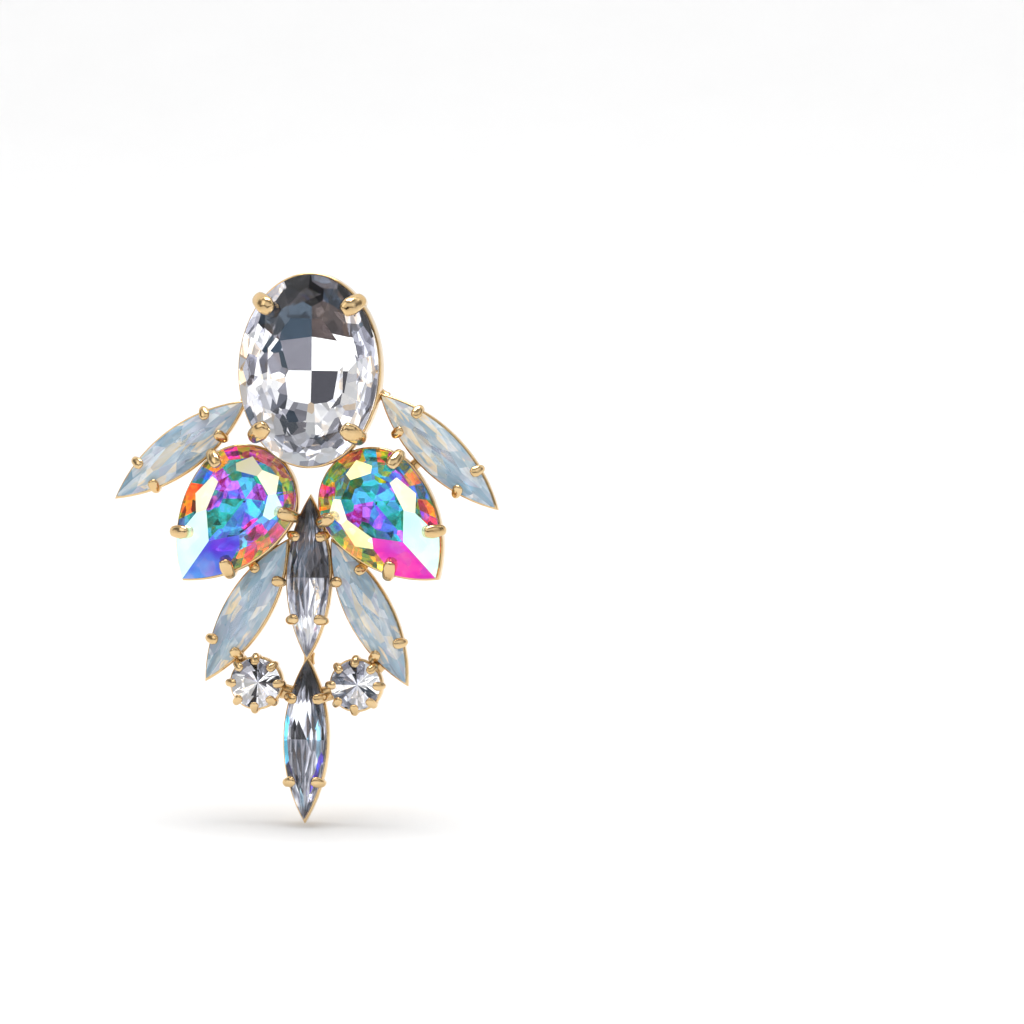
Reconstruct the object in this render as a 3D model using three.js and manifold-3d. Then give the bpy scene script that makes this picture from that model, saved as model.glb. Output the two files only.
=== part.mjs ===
// A rigid chandelier earring for a pierced ear: eleven foiled glass stones in claw cups of gilt brass.
// The cups are soldered edge to edge into one piece, which hangs from a straight ear post.
// Millimetres. X is to the wearer's left as seen from the front, Z is up, and the stones face -Y.
// The origin is where the post leaves its pad, which is the face that rests on the ear lobe.

import * as THREE from "three";
import { mergeVertices } from "three/addons/utils/BufferGeometryUtils.js";
import Module from "manifold-3d";

const wasm = await Module();
wasm.setup();

// Cut stones: size over the girdle, the heights of crown, girdle and pavilion, and the table as a share.
const ovalCut = {
  length: 18.0,
  width: 13.2,
  crown: 1.9,
  girdle: 0.5,
  pavilion: 3.5,
  table: 0.56,
  sides: 32,
};
const pearCut = {
  length: 14.4,
  width: 9.9,
  crown: 1.5,
  girdle: 0.42,
  pavilion: 2.8,
  table: 0.56,
  sides: 28,
};
const navetteCut = {
  length: 15.0,
  width: 4.0,
  crown: 0.85,
  girdle: 0.34,
  pavilion: 1.55,
  table: 0.46,
  sides: 20,
};
const chatonCut = {
  length: 4.7,
  width: 4.7,
  crown: 0.85,
  girdle: 0.3,
  pavilion: 2.0,
  table: 0.5,
  sides: 20,
};

// Rows of facets. Each plane leans from the edge in to a share of the reach, over a share of the height.
const crownRows = [
  { count: 8, phase: 0.0, inTo: "table", rise: 1.0 },
  { count: 16, phase: 0.5, inTo: 0.82, rise: 0.58 },
];
const pavilionRows = [
  { count: 8, phase: 0.0, inTo: 0.0, fall: 1.0 },
  { count: 8, phase: 0.5, inTo: 0.3, fall: 0.8 },
];

// Claw cups
const seatGap = 0.12; // between a stone and the metal around it
const plate = 0.5; // thickness of a cup's back
const wall = 0.42; // thickness of a cup's side at its foot
const proud = 0.2; // how far the rim stands outside the girdle
const rimDrop = 0.14; // from the girdle down to the rim
const seatDepth = 0.5; // height of the bevel under the girdle
const floorGap = 0.2; // under the point of the pavilion
const cupTaper = 0.75; // how far the side draws in by the back
const bellyShare = 0.5; // share of the depth above which the side stands straight

// Claws: width and thickness of the wire, width of its rounded end, and how far that reaches over the stone.
// foot is where it springs from the side, as a share of the cup's depth below the girdle.
const ovalClaw = { wire: 1.05, thick: 0.7, pad: 1.75, reach: 1.45, foot: 0.5, sides: 6 };
const pearClaw = { wire: 0.85, thick: 0.6, pad: 1.35, reach: 1.2, foot: 0.5, sides: 5 };
const navetteClaw = { wire: 0.6, thick: 0.5, pad: 1.05, reach: 0.62, foot: 0.45, sides: 4 };
const chatonClaw = { wire: 0.55, thick: 0.42, pad: 0.85, reach: 0.5, foot: 0.45, sides: 4 };

// Where the claws stand: degrees round the oval, the pear's round end and the chaton, and shares of a length.
const ovalClawDegrees = [46, 134, 223, 317];
const pearRoundDegrees = 18; // above the pear's widest line
const pearFlankShare = 0.66; // of the way from the widest line to the tip
const navetteClawShare = 0.53; // of the half length, from the middle
const chatonClaws = 8;

// Ear post
const postLength = 11.0;
const postRadius = 0.42;
const postTip = 0.3; // length of the rounded end
const padRadius = 2.3;
const padThickness = 0.6;
const padFillet = 0.35;
const postSides = 12;
const postAboveOval = ovalCut.length * 0.222; // from the oval's centre up to the post

// Soldering
const stoneSpacing = 0.3; // least distance between two girdles
const solderRadius = 0.5;
const linkRadius = 0.72; // the stubs that carry the chatons
const solderBite = 0.45; // how far a joint runs into each cup
const solderSides = 6;
const solderHeight = 0.95; // of a joint's centre above the cups' backs

const radians = THREE.MathUtils.degToRad;

// The outline of a cut, grown outwards by an offset. Each family is made of arcs about fixed centres.
// Points run anticlockwise as [across, along], with the pear's origin at the centre of its round end.
function arcPoints(centreX, radius, from, to, count) {
  return Array.from({ length: count }, (_, i) => {
    const angle = from + ((to - from) * i) / count;
    return [centreX + radius * Math.cos(angle), radius * Math.sin(angle)];
  });
}

const outlines = {
  oval(cut, offset) {
    return Array.from({ length: cut.sides }, (_, i) => {
      const angle = (2 * Math.PI * i) / cut.sides;
      return [
        (cut.width / 2 + offset) * Math.cos(angle),
        (cut.length / 2 + offset) * Math.sin(angle),
      ];
    });
  },
  chaton(cut, offset) {
    return arcPoints(0, cut.width / 2 + offset, 0, 2 * Math.PI, cut.sides);
  },
  navette(cut, offset) {
    const halfWidth = cut.width / 2;
    const bow = (cut.length ** 2 / 4 + halfWidth ** 2) / (2 * halfWidth);
    const sweep = Math.acos((bow - halfWidth) / (bow + offset));
    const side = arcPoints(halfWidth - bow, bow + offset, -sweep, sweep, cut.sides / 2);
    return [...side, ...side.map(([x, y]) => [-x, -y])];
  },
  pear(cut, offset) {
    const round = cut.width / 2;
    const tip = cut.length - round;
    const shift = (tip ** 2 - round ** 2) / (2 * round);
    const flankRadius = round + shift + offset;
    const sweep = Math.acos(shift / flankRadius);
    const flankSides = cut.sides / 4;
    const right = arcPoints(-shift, flankRadius, -sweep, 0, flankSides);
    const end = arcPoints(0, round + offset, 0, Math.PI, cut.sides - 2 * flankSides);
    const left = arcPoints(shift, flankRadius, Math.PI, Math.PI + sweep, flankSides);
    return [...right, ...end, ...left];
  },
};

// The reach of an outline in a direction: how far it goes that way from its origin.
function reachOf(points, direction) {
  return Math.max(...points.map((p) => p[0] * direction[0] + p[1] * direction[1]));
}

// The outward normals of an outline at evenly spaced stations.
function stations(points, count, phase) {
  return Array.from({ length: count }, (_, k) => {
    const place = (((k + phase) / count) * points.length) % points.length;
    const a = points[Math.floor(place)];
    const b = points[(Math.floor(place) + 1) % points.length];
    const run = Math.hypot(b[0] - a[0], b[1] - a[1]);
    return [(b[1] - a[1]) / run, (a[0] - b[0]) / run];
  });
}

// A closed solid lofted through rings of equally many points, with a flat cap at each end.
function loft(rings) {
  const count = rings[0].length;
  const position = rings.flat(2);
  const index = [];
  for (let r = 0; r + 1 < rings.length; r++) {
    for (let i = 0; i < count; i++) {
      const a = r * count + i;
      const b = r * count + ((i + 1) % count);
      index.push(a, b, b + count, a, b + count, a + count);
    }
  }
  const last = (rings.length - 1) * count;
  for (let i = 1; i + 1 < count; i++) {
    index.push(0, i + 1, i);
    index.push(last, last + i, last + i + 1);
  }
  const geometry = new THREE.BufferGeometry();
  geometry.setAttribute("position", new THREE.Float32BufferAttribute(position, 3));
  geometry.setIndex(index);
  return solidOf(geometry);
}

// A three.js geometry as a solid for joining and cutting, and back again.
function solidOf(geometry) {
  const bare = geometry.clone();
  bare.deleteAttribute("normal");
  bare.deleteAttribute("uv");
  const merged = mergeVertices(bare, 1e-4);
  return new wasm.Manifold(
    new wasm.Mesh({
      numProp: 3,
      vertProperties: new Float32Array(merged.attributes.position.array),
      triVerts: new Uint32Array(merged.index.array),
    }),
  );
}

function geometryOf(solid) {
  const mesh = solid.getMesh();
  const geometry = new THREE.BufferGeometry();
  geometry.setAttribute("position", new THREE.BufferAttribute(mesh.vertProperties, 3));
  geometry.setIndex(new THREE.BufferAttribute(mesh.triVerts, 1));
  const flat = geometry.toNonIndexed();
  flat.computeVertexNormals();
  return flat;
}

// Cuts away what lies beyond a plane that passes through two points [reach, height] above a direction.
function cutFacet(solid, direction, low, high) {
  const run = [high[0] - low[0], high[1] - low[1]];
  const length = Math.hypot(run[0], run[1]);
  const up = Math.sign(run[1]);
  const lean = [(up * run[1]) / length, (-up * run[0]) / length];
  const distance = lean[0] * low[0] + lean[1] * low[1];
  const normal = [direction[0] * lean[0], direction[1] * lean[0], lean[1]];
  return solid.trimByPlane(
    normal.map((n) => -n),
    -distance,
  );
}

// A cut stone. The girdle's lower edge is at height 0.
function cutStone(family, cut) {
  const edge = outlines[family](cut, 0);
  const top = cut.girdle + cut.crown;
  const ring = (height) => edge.map(([x, y]) => [x, y, height]);
  let stone = loft([ring(-cut.pavilion), ring(top)]);
  for (const row of crownRows) {
    const inTo = row.inTo === "table" ? cut.table : row.inTo;
    for (const direction of stations(edge, row.count, row.phase)) {
      const reach = reachOf(edge, direction);
      const high = [reach * inTo, cut.girdle + cut.crown * row.rise];
      stone = cutFacet(stone, direction, [reach, cut.girdle], high);
    }
  }
  for (const row of pavilionRows) {
    for (const direction of stations(edge, row.count, row.phase)) {
      const reach = reachOf(edge, direction);
      const deep = [reach * row.inTo, -cut.pavilion * row.fall];
      stone = cutFacet(stone, direction, [reach, 0], deep);
    }
  }
  return stone;
}

const cupDepth = (cut) => cut.pavilion + floorGap + plate;

// The outside of a cup, still solid, and the hollow that is cut out of it.
function cupBody(family, cut) {
  const depth = cupDepth(cut);
  const ring = (offset, height) => outlines[family](cut, offset).map(([x, y]) => [x, y, height]);
  const drawn = Math.min(cupTaper, cut.width / 5);
  return loft([ring(proud - drawn, -depth), ring(proud, -depth * bellyShare), ring(proud, -rimDrop)]);
}

function cupHollow(family, cut) {
  const ring = (offset, height) => outlines[family](cut, offset).map(([x, y]) => [x, y, height]);
  const floorInset = Math.min(cupTaper + wall, cut.width / 4);
  return loft([
    ring(-floorInset, -cut.pavilion - floorGap),
    ring(-seatDepth * 0.7, -seatDepth),
    ring(seatGap, 0),
  ]);
}

// A claw: a wire up the side of the cup that bends over the crown and ends in a rounded pad.
function clawSolid(cut, claw, [footX, footY], [normalX, normalY]) {
  const reach = footX * normalX + footY * normalY;
  const slope = cut.crown / (reach * (1 - cut.table));
  const clear = seatGap + claw.thick / 2;
  const crownAt = (inset) => cut.girdle + slope * inset + clear * Math.hypot(1, slope);
  const path = [
    { out: proud, up: -cupDepth(cut) * claw.foot, wide: claw.wire },
    { out: clear, up: cut.girdle / 2, wide: claw.wire },
    { out: clear * Math.SQRT1_2, up: cut.girdle + clear * 0.8, wide: (claw.wire + claw.pad) / 2 },
    { out: -claw.reach * 0.5, up: crownAt(claw.reach * 0.5), wide: claw.pad },
    { out: -claw.reach, up: crownAt(claw.reach), wide: claw.pad * 0.55 },
  ];
  const rings = path.map((spot, i) => {
    const before = path[Math.max(i - 1, 0)];
    const after = path[Math.min(i + 1, path.length - 1)];
    const run = Math.hypot(after.out - before.out, after.up - before.up);
    const across = [(after.up - before.up) / run, (before.out - after.out) / run];
    const thick = i === path.length - 1 ? claw.thick * 0.7 : claw.thick;
    return Array.from({ length: claw.sides }, (_, k) => {
      const angle = (2 * Math.PI * (k + 0.5)) / claw.sides;
      const side = (spot.wide / 2) * Math.cos(angle);
      const face = (thick / 2) * Math.sin(angle);
      const out = spot.out + across[0] * face;
      return [
        footX + normalX * out + normalY * side,
        footY + normalY * out - normalX * side,
        spot.up + across[1] * face,
      ];
    });
  });
  return loft(rings);
}

// The foot of each claw on the girdle, with the outline's normal there.
const clawFeet = {
  oval(cut) {
    return ovalClawDegrees.map((degrees) => {
      const angle = radians(degrees);
      const foot = [(cut.width / 2) * Math.cos(angle), (cut.length / 2) * Math.sin(angle)];
      const normal = [Math.cos(angle) * cut.length, Math.sin(angle) * cut.width];
      const size = Math.hypot(...normal);
      return [foot, normal.map((n) => n / size)];
    });
  },
  pear(cut) {
    const round = cut.width / 2;
    const tip = cut.length - round;
    const shift = (tip ** 2 - round ** 2) / (2 * round);
    const flank = Math.asin((-tip * pearFlankShare) / (round + shift));
    return [1, -1].flatMap((side) => {
      const high = radians(pearRoundDegrees);
      const highNormal = [side * Math.cos(high), Math.sin(high)];
      const lowNormal = [side * Math.cos(flank), Math.sin(flank)];
      const lowFoot = [
        side * ((round + shift) * Math.cos(flank) - shift),
        (round + shift) * Math.sin(flank),
      ];
      return [
        [highNormal.map((n) => n * round), highNormal],
        [lowFoot, lowNormal],
      ];
    });
  },
  navette(cut) {
    const halfWidth = cut.width / 2;
    const bow = (cut.length ** 2 / 4 + halfWidth ** 2) / (2 * halfWidth);
    const lean = Math.asin(((cut.length / 2) * navetteClawShare) / bow);
    return [lean, -lean].flatMap((angle) =>
      [1, -1].map((side) => {
        const normal = [side * Math.cos(angle), Math.sin(angle)];
        const foot = [normal[0] * bow - side * (bow - halfWidth), normal[1] * bow];
        return [foot, normal];
      }),
    );
  },
  chaton(cut) {
    return Array.from({ length: chatonClaws }, (_, k) => {
      const angle = (2 * Math.PI * k) / chatonClaws;
      const normal = [Math.cos(angle), Math.sin(angle)];
      return [normal.map((n) => (n * cut.width) / 2), normal];
    });
  },
};

// Finishes of the stones. The glass is foiled behind, so each colour is what it throws back.
const crystal = { color: 0xe6ebf0, roughness: 0.04, metalness: 0.35 };
const aurora = { color: 0x9fa8f2, roughness: 0.05, metalness: 0.45 };
const opal = { color: 0xc3d0d8, roughness: 0.08, metalness: 0.2 };
const gilt = { color: 0xdfb674, roughness: 0.16, metalness: 1.0 };

// Where the stones sit, as shares of their sizes
const pearPlace = { out: 0.592, down: 0.675 }; // a pear's round end, of its width and of the oval's length
const wingTip = {
  left: { out: 0.463, down: 0.17 }, // a wing's upper tip, of the oval's width and length
  right: { out: 0.483, down: 0.122 },
};
const middleTipDown = 0.669; // of the oval's length
const lowerTip = { out: 0.57, down: 0.264 }; // from the middle stone's upper tip, of its width and length
const chatonPlace = { out: 0.6, down: 0.148 }; // from the bottom stone, of its width and length

// Each kind of setting
const kinds = {
  oval: { cut: ovalCut, claw: ovalClaw },
  pear: { cut: pearCut, claw: pearClaw },
  navette: { cut: navetteCut, claw: navetteClaw },
  chaton: { cut: chatonCut, claw: chatonClaw },
};

// A navette that hangs from its upper tip: the centre lies half a length further on. Positions are
// [x, z] from the oval's centre, and turn swings the lower tip towards +X, in degrees.
function navetteFrom(name, finish, [tipX, tipZ], turn) {
  const half = navetteCut.length / 2;
  const centre = [tipX + half * Math.sin(radians(turn)), tipZ - half * Math.cos(radians(turn))];
  return { name, kind: "navette", finish, centre, turn };
}

const middleTop = [0, -ovalCut.length * middleTipDown];
const bottomTop = [0, middleTop[1] - navetteCut.length - stoneSpacing];
const sides = [
  { name: "left", way: -1, pearTurn: -36.1, wingTurn: -52.7, lowerTurn: -29.6 },
  { name: "right", way: 1, pearTurn: 41.7, wingTurn: 46.7, lowerTurn: 28.8 },
];
const layout = [
  { name: "oval", kind: "oval", finish: crystal, centre: [0, 0], turn: 0 },
  navetteFrom("middle", crystal, middleTop, 0),
  navetteFrom("bottom", crystal, bottomTop, 0),
  ...sides.flatMap((side) => {
    const { out, down } = wingTip[side.name];
    const wing = [side.way * ovalCut.width * out, -ovalCut.length * down];
    const lower = [
      side.way * navetteCut.width * lowerTip.out,
      middleTop[1] - navetteCut.length * lowerTip.down,
    ];
    const pear = [side.way * pearCut.width * pearPlace.out, -ovalCut.length * pearPlace.down];
    const chaton = [
      side.way * (chatonCut.width / 2 + navetteCut.width * chatonPlace.out),
      bottomTop[1] - navetteCut.length * chatonPlace.down,
    ];
    return [
      { name: `pear_${side.name}`, kind: "pear", finish: aurora, centre: pear, turn: side.pearTurn },
      navetteFrom(`wing_${side.name}`, opal, wing, side.wingTurn),
      navetteFrom(`lower_${side.name}`, opal, lower, side.lowerTurn),
      { name: `chaton_${side.name}`, kind: "chaton", finish: crystal, centre: chaton, turn: 0 },
    ];
  }),
];
const settleRounds = 80;
const settleHeadings = 120;

// Pairs of cups that are soldered together, and the thickness of the joint.
const joints = ["left", "right"].flatMap((side) => [
  ["oval", `pear_${side}`, solderRadius],
  ["oval", `wing_${side}`, solderRadius],
  [`pear_${side}`, `wing_${side}`, solderRadius],
  [`pear_${side}`, "middle", solderRadius],
  ["middle", `lower_${side}`, solderRadius],
  [`pear_${side}`, `lower_${side}`, solderRadius],
  [`lower_${side}`, `chaton_${side}`, linkRadius],
  [`chaton_${side}`, "bottom", linkRadius],
]);
joints.push(["middle", "bottom", solderRadius]);

// A stone's girdle outline turned into the earring's own X and Z, about its own centre.
function turnedOutline(spec) {
  const { cut } = kinds[spec.kind];
  const angle = radians(spec.turn);
  const [cos, sin] = [Math.cos(angle), Math.sin(angle)];
  return outlines[spec.kind](cut, 0).map(([u, v]) => [u * cos - v * sin, u * sin + v * cos]);
}

// The stones where the layout puts them, then pushed apart until no two girdles are nearer than the
// spacing. The oval stays, and a stone on the centre line keeps to it, so the rest gives way.
const headings = Array.from({ length: settleHeadings }, (_, i) => {
  const angle = (2 * Math.PI * i) / settleHeadings;
  return [Math.cos(angle), Math.sin(angle)];
});
const stones = layout.map((spec) => {
  const outline = turnedOutline(spec);
  const centre = [spec.centre[0], spec.centre[1] - postAboveOval];
  return { ...spec, outline, centre, reaches: headings.map((way) => reachOf(outline, way)) };
});

function moveBy(stone, way, distance) {
  const onAxis = stone.centre[0] === 0;
  stone.centre = [onAxis ? 0 : stone.centre[0] + way[0] * distance, stone.centre[1] + way[1] * distance];
}

function pushApart(a, b, spacing) {
  const offset = [b.centre[0] - a.centre[0], b.centre[1] - a.centre[1]];
  let widest = { gap: -Infinity };
  headings.forEach((way, i) => {
    const behind = b.reaches[(i + settleHeadings / 2) % settleHeadings];
    const gap = way[0] * offset[0] + way[1] * offset[1] - a.reaches[i] - behind;
    if (gap > widest.gap) widest = { gap, way };
  });
  const short = spacing - widest.gap;
  if (short <= 0) return;
  const shareOfA = a.kind === "oval" ? 0 : 0.5;
  moveBy(a, widest.way, -short * shareOfA);
  moveBy(b, widest.way, short * (1 - shareOfA));
}

for (let round = 0; round < settleRounds; round++) {
  stones.forEach((a, i) => stones.slice(i + 1).forEach((b) => pushApart(a, b, stoneSpacing)));
}
const placed = Object.fromEntries(stones.map((stone) => [stone.name, stone]));

// The group that holds one stone: its axes are across, along and out of the stone's face.
function settingGroup(spec) {
  const angle = radians(spec.turn);
  const across = new THREE.Vector3(Math.cos(angle), 0, Math.sin(angle));
  const out = new THREE.Vector3(0, -1, 0);
  const along = new THREE.Vector3().crossVectors(out, across);
  const group = new THREE.Group();
  group.quaternion.setFromRotationMatrix(new THREE.Matrix4().makeBasis(across, along, out));
  group.position.set(spec.centre[0], -padThickness - cupDepth(kinds[spec.kind].cut), spec.centre[1]);
  group.updateMatrix();
  return group;
}

// A solder joint: a stub between the nearest points of two cups, run a little way into both.
function solderJoint([from, to, radius]) {
  const near = (spec) => spec.outline.map(([x, z]) => [x + spec.centre[0], z + spec.centre[1]]);
  let best = { gap: Infinity };
  for (const a of near(placed[from])) {
    for (const b of near(placed[to])) {
      const gap = Math.hypot(b[0] - a[0], b[1] - a[1]);
      if (gap < best.gap) best = { gap, a, b };
    }
  }
  const { a, b, gap } = best;
  const way = [(b[0] - a[0]) / gap, (b[1] - a[1]) / gap];
  const depth = -padThickness - solderHeight;
  const ring = ([x, z], bite) =>
    Array.from({ length: solderSides }, (_, k) => {
      const angle = (2 * Math.PI * k) / solderSides;
      const side = radius * Math.cos(angle);
      return [
        x + way[0] * bite - way[1] * side,
        depth - radius * Math.sin(angle),
        z + way[1] * bite + way[0] * side,
      ];
    });
  return loft([ring(a, -solderBite), ring(b, solderBite)]);
}

// The ear post with its pad, turned about +Y and standing on the back of the oval's cup.
function postSolid() {
  const profile = [
    [0, -padThickness - plate / 2],
    [padRadius, -padThickness - plate / 2],
    [padRadius, 0],
    [postRadius + padFillet, 0],
    [postRadius, padFillet],
    [postRadius, postLength - postTip],
    [postRadius * 0.6, postLength - postTip * 0.25],
    [0, postLength],
  ];
  const turned = new THREE.LatheGeometry(
    profile.map(([radius, height]) => new THREE.Vector2(radius, height)),
    postSides,
  );
  return solidOf(turned);
}

// The room that a stone's crown takes, which the claws of its neighbours leave free.
function crownRoom(spec) {
  const { cut } = kinds[spec.kind];
  const ring = (height) => outlines[spec.kind](cut, seatGap).map(([x, y]) => [x, y, height]);
  return loft([ring(0), ring(cut.girdle + cut.crown)]);
}

const earring = new THREE.Group();
const matrices = new Map(stones.map((spec) => [spec, settingGroup(spec).matrix.toArray()]));
const bodies = [postSolid(), ...joints.map(solderJoint)];
const hollows = [];
for (const spec of stones) {
  const { cut, claw } = kinds[spec.kind];
  const matrix = matrices.get(spec);
  bodies.push(cupBody(spec.kind, cut).transform(matrix));
  hollows.push(cupHollow(spec.kind, cut).transform(matrix));
  const claws = clawFeet[spec.kind](cut).map(([foot, normal]) => clawSolid(cut, claw, foot, normal));
  const others = stones.filter((other) => other !== spec);
  const rooms = others.map((other) => crownRoom(other).transform(matrices.get(other)));
  bodies.push(wasm.Manifold.union(claws).transform(matrix).subtract(wasm.Manifold.union(rooms)));
  const stone = new THREE.Mesh(
    geometryOf(cutStone(spec.kind, cut)),
    new THREE.MeshStandardMaterial(spec.finish),
  );
  stone.name = `${spec.name}_stone`;
  const group = settingGroup(spec);
  group.add(stone);
  earring.add(group);
}

const metal = wasm.Manifold.union(bodies).subtract(wasm.Manifold.union(hollows));
const setting = new THREE.Mesh(geometryOf(metal), new THREE.MeshStandardMaterial(gilt));
setting.name = "soldered_setting";
earring.add(setting);

export default earring;
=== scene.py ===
import math

import bpy
import numpy as np
from mathutils import Matrix, Vector


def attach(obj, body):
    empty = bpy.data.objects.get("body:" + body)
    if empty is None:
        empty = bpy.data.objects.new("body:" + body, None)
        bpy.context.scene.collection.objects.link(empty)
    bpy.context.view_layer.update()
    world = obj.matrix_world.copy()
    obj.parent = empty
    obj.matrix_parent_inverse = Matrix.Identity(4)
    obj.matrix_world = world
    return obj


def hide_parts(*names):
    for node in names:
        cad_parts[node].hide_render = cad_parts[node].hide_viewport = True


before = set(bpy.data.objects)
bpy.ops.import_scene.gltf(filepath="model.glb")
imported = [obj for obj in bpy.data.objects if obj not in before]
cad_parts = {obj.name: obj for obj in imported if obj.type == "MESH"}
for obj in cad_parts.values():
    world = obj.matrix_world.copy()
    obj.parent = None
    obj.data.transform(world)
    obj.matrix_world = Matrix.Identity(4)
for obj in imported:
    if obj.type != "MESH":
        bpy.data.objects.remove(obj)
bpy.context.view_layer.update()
mm = 0.001

# The plan of the earring, in millimetres, as its solids have it
cuts = {
    "oval": {"length": 18.0, "width": 13.2, "crown": 1.9, "girdle": 0.5, "pavilion": 3.5, "table": 0.56},
    "pear": {"length": 14.4, "width": 9.9, "crown": 1.5, "girdle": 0.42, "pavilion": 2.8, "table": 0.56},
    "navette": {"length": 15.0, "width": 4.0, "crown": 0.85, "girdle": 0.34, "pavilion": 1.55, "table": 0.46},
    "chaton": {"length": 4.7, "width": 4.7, "crown": 0.85, "girdle": 0.3, "pavilion": 2.0, "table": 0.5},
}
plan = [
    # name, cut, centre x and z, turn of the lower tip towards +X in degrees, finish
    ("oval", "oval", 0.0, -3.996, 0.0, "clear"),
    ("pear_left", "pear", -6.14, -16.174, -36.1, "rainbow"),
    ("pear_right", "pear", 6.059, -16.203, 41.7, "rainbow"),
    ("wing_left", "navette", -12.452, -11.68, -52.7, "milky"),
    ("wing_right", "navette", 12.131, -11.399, 46.7, "milky"),
    ("middle", "navette", 0.0, -23.538, 0.0, "clear"),
    ("lower_left", "navette", -5.848, -26.688, -29.6, "milky"),
    ("lower_right", "navette", 5.815, -26.678, 28.8, "milky"),
    ("bottom", "navette", 0.0, -38.838, 0.0, "clear"),
    ("chaton_left", "chaton", -4.75, -33.558, 0.0, "clear"),
    ("chaton_right", "chaton", 4.75, -33.558, 0.0, "clear"),
]
cup = {
    # "back" is how thick its back is, "floorGap" the gap between that and the stone, "taper" how far it draws
    # in below "belly", a share of its depth, and "padBehind" how far in front of y = 0 its back lies
    "back": 0.5, "proud": 0.2, "rimDrop": 0.14, "floorGap": 0.2, "taper": 0.75, "belly": 0.5,
    "padBehind": 0.6,
}


def arc(centreX, radius, start, end, count):
    angles = start + (end - start) * np.arange(count) / count
    return np.stack([centreX + radius * np.cos(angles), radius * np.sin(angles)], 1)


def outline(kind, count, offset=0.0):
    # points anticlockwise, grown by the offset
    cut = cuts[kind]
    half, length = cut["width"] / 2, cut["length"]
    if kind in ("oval", "chaton"):
        angles = 2 * math.pi * np.arange(count) / count
        return np.stack([(half + offset) * np.cos(angles), (length / 2 + offset) * np.sin(angles)], 1)
    if kind == "navette":
        bow = (length**2 / 4 + half**2) / (2 * half)
        sweep = math.acos((bow - half) / (bow + offset))
        bowed = arc(half - bow, bow + offset, -sweep, sweep, count // 2)
        return np.concatenate([bowed, -bowed])
    tip = length - half
    shift = (tip**2 - half**2) / (2 * half)
    flank = half + shift + offset
    sweep = math.acos(shift / flank)
    quarter = count // 4
    return np.concatenate([
        arc(-shift, flank, -sweep, 0, quarter),
        arc(0, half + offset, 0, math.pi, count - 2 * quarter),
        arc(shift, flank, math.pi, math.pi + sweep, quarter),
    ])


def cupDepth(kind):
    return cuts[kind]["pavilion"] + cup["floorGap"] + cup["back"]


def taperOf(kind):
    # how far a cup draws in towards its back
    return min(cup["taper"], cuts[kind]["width"] / 5)


def inPlan(points, x, z, turn):
    # across and along a stone, to x and z of the earring, all in mm
    c, s = math.cos(math.radians(turn)), math.sin(math.radians(turn))
    return x + points[:, 0] * c - points[:, 1] * s, z + points[:, 0] * s + points[:, 1] * c


def toWorld(points, kind, x, z, turn):
    # across, along and out of the stone's face in mm, to metres in the earring's frame
    points = np.asarray(points, float).reshape(-1, 3)
    right, up = inPlan(points, x, z, turn)
    return np.stack([right, -cup["padBehind"] - cupDepth(kind) - points[:, 2], up], 1) * mm


# Materials
class Socket:
    # a shader value that takes Python's operators
    def __init__(self, material, socket):
        self.material, self.socket = material, socket

    def join(self, operation, *values):
        return self.material.node("ShaderNodeMath", {"operation": operation}, *values)

    def __add__(self, other):
        return self.join("ADD", self, other)

    def __radd__(self, other):
        return self.join("ADD", other, self)

    def __sub__(self, other):
        return self.join("SUBTRACT", self, other)

    def __rsub__(self, other):
        return self.join("SUBTRACT", other, self)

    def __mul__(self, other):
        return self.join("MULTIPLY", self, other)

    def __rmul__(self, other):
        return self.join("MULTIPLY", other, self)

    def __abs__(self):
        return self.join("ABSOLUTE", self)

    def fraction(self):
        return self.join("FRACT", self)


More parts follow.
